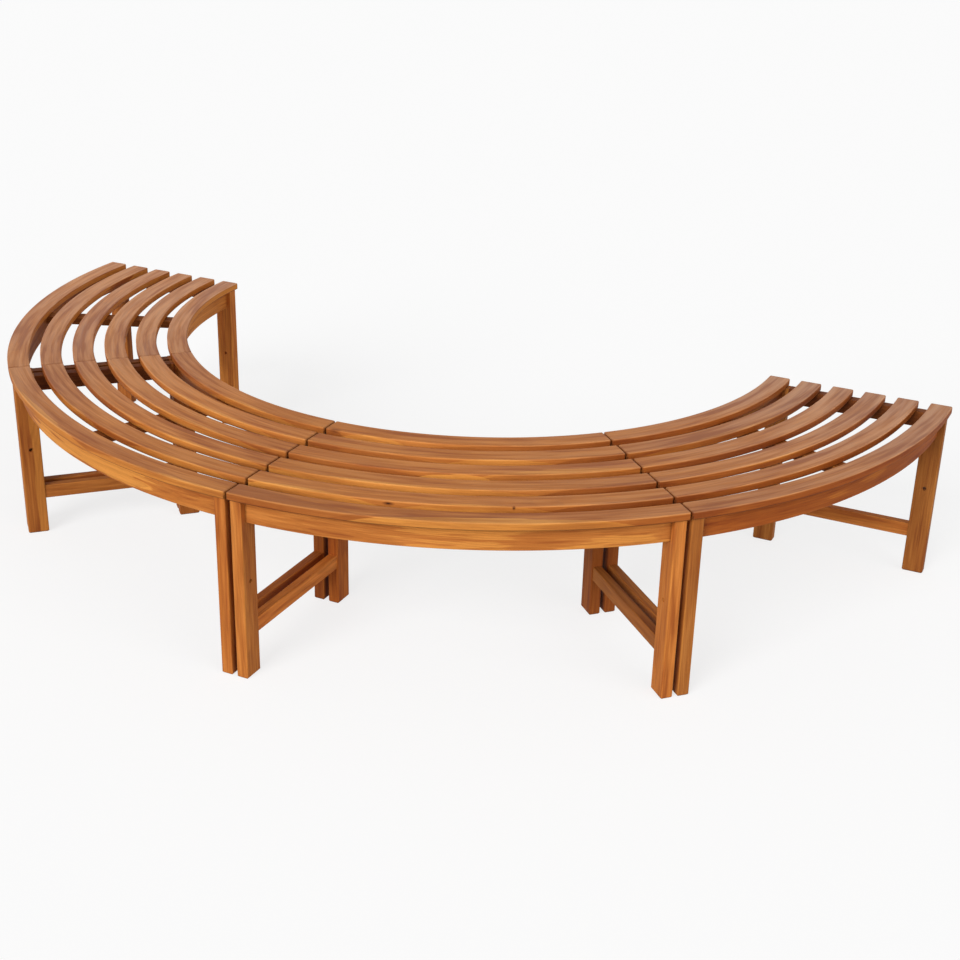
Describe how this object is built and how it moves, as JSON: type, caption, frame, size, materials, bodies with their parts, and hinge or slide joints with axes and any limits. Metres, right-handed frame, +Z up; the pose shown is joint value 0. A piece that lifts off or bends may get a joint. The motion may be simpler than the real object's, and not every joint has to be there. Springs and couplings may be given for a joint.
{
  "type": "tree bench",
  "caption": "Backless half-ring bench that stands round a tree: curved slatted benches on square legs, set end to end, each with aprons and low stretchers.",
  "frame": {"origin": "centre of the bounding box, on the floor", "axes": "+Z up; +X to the right along the half ring's open side; +Y towards the open side, so the seat's curve faces -Y"},
  "size_m": [2.55, 1.2734, 0.45],
  "materials": {
    "seat_wood": "oiled hardwood, matte",
    "frame_wood": "oiled hardwood, matte",
    "screw_steel": "plain stainless"
  },
  "bodies": {
    "root": {"bench_a_end_rails": "frame_wood", "bench_a_inner_apron": "frame_wood", "bench_a_inner_leg_left": "frame_wood", "bench_a_inner_leg_right": "frame_wood", "bench_a_outer_apron": "frame_wood", "bench_a_outer_leg_left": "frame_wood", "bench_a_outer_leg_right": "frame_wood", "bench_a_slat_1": "seat_wood", "bench_a_slat_2": "seat_wood", "bench_a_slat_3": "seat_wood", "bench_a_slat_4": "seat_wood", "bench_a_slat_5": "seat_wood", "bench_a_slat_6": "seat_wood", "bench_a_stretchers": "frame_wood", "bench_b_end_rails": "frame_wood", "bench_b_inner_apron": "frame_wood", "bench_b_inner_leg_left": "frame_wood", "bench_b_inner_leg_right": "frame_wood", "bench_b_outer_apron": "frame_wood", "bench_b_outer_leg_left": "frame_wood", "bench_b_outer_leg_right": "frame_wood", "bench_b_slat_1": "seat_wood", "bench_b_slat_2": "seat_wood", "bench_b_slat_3": "seat_wood", "bench_b_slat_4": "seat_wood", "bench_b_slat_5": "seat_wood", "bench_b_slat_6": "seat_wood", "bench_b_stretchers": "frame_wood", "bench_c_end_rails": "frame_wood", "bench_c_inner_apron": "frame_wood", "bench_c_inner_leg_left": "frame_wood", "bench_c_inner_leg_right": "frame_wood", "bench_c_outer_apron": "frame_wood", "bench_c_outer_leg_left": "frame_wood", "bench_c_outer_leg_right": "frame_wood", "bench_c_slat_1": "seat_wood", "bench_c_slat_2": "seat_wood", "bench_c_slat_3": "seat_wood", "bench_c_slat_4": "seat_wood", "bench_c_slat_5": "seat_wood", "bench_c_slat_6": "seat_wood", "bench_c_stretchers": "frame_wood", "bench_d_end_rails": "frame_wood", "bench_d_inner_apron": "frame_wood", "bench_d_inner_leg_left": "frame_wood", "bench_d_inner_leg_right": "frame_wood", "bench_d_outer_apron": "frame_wood", "bench_d_outer_leg_left": "frame_wood", "bench_d_outer_leg_right": "frame_wood", "bench_d_slat_1": "seat_wood", "bench_d_slat_2": "seat_wood", "bench_d_slat_3": "seat_wood", "bench_d_slat_4": "seat_wood", "bench_d_slat_5": "seat_wood", "bench_d_slat_6": "seat_wood", "bench_d_stretchers": "frame_wood", "mid_bearers": "frame_wood", "slat_screws": "screw_steel"}
  },
  "joints": []
}
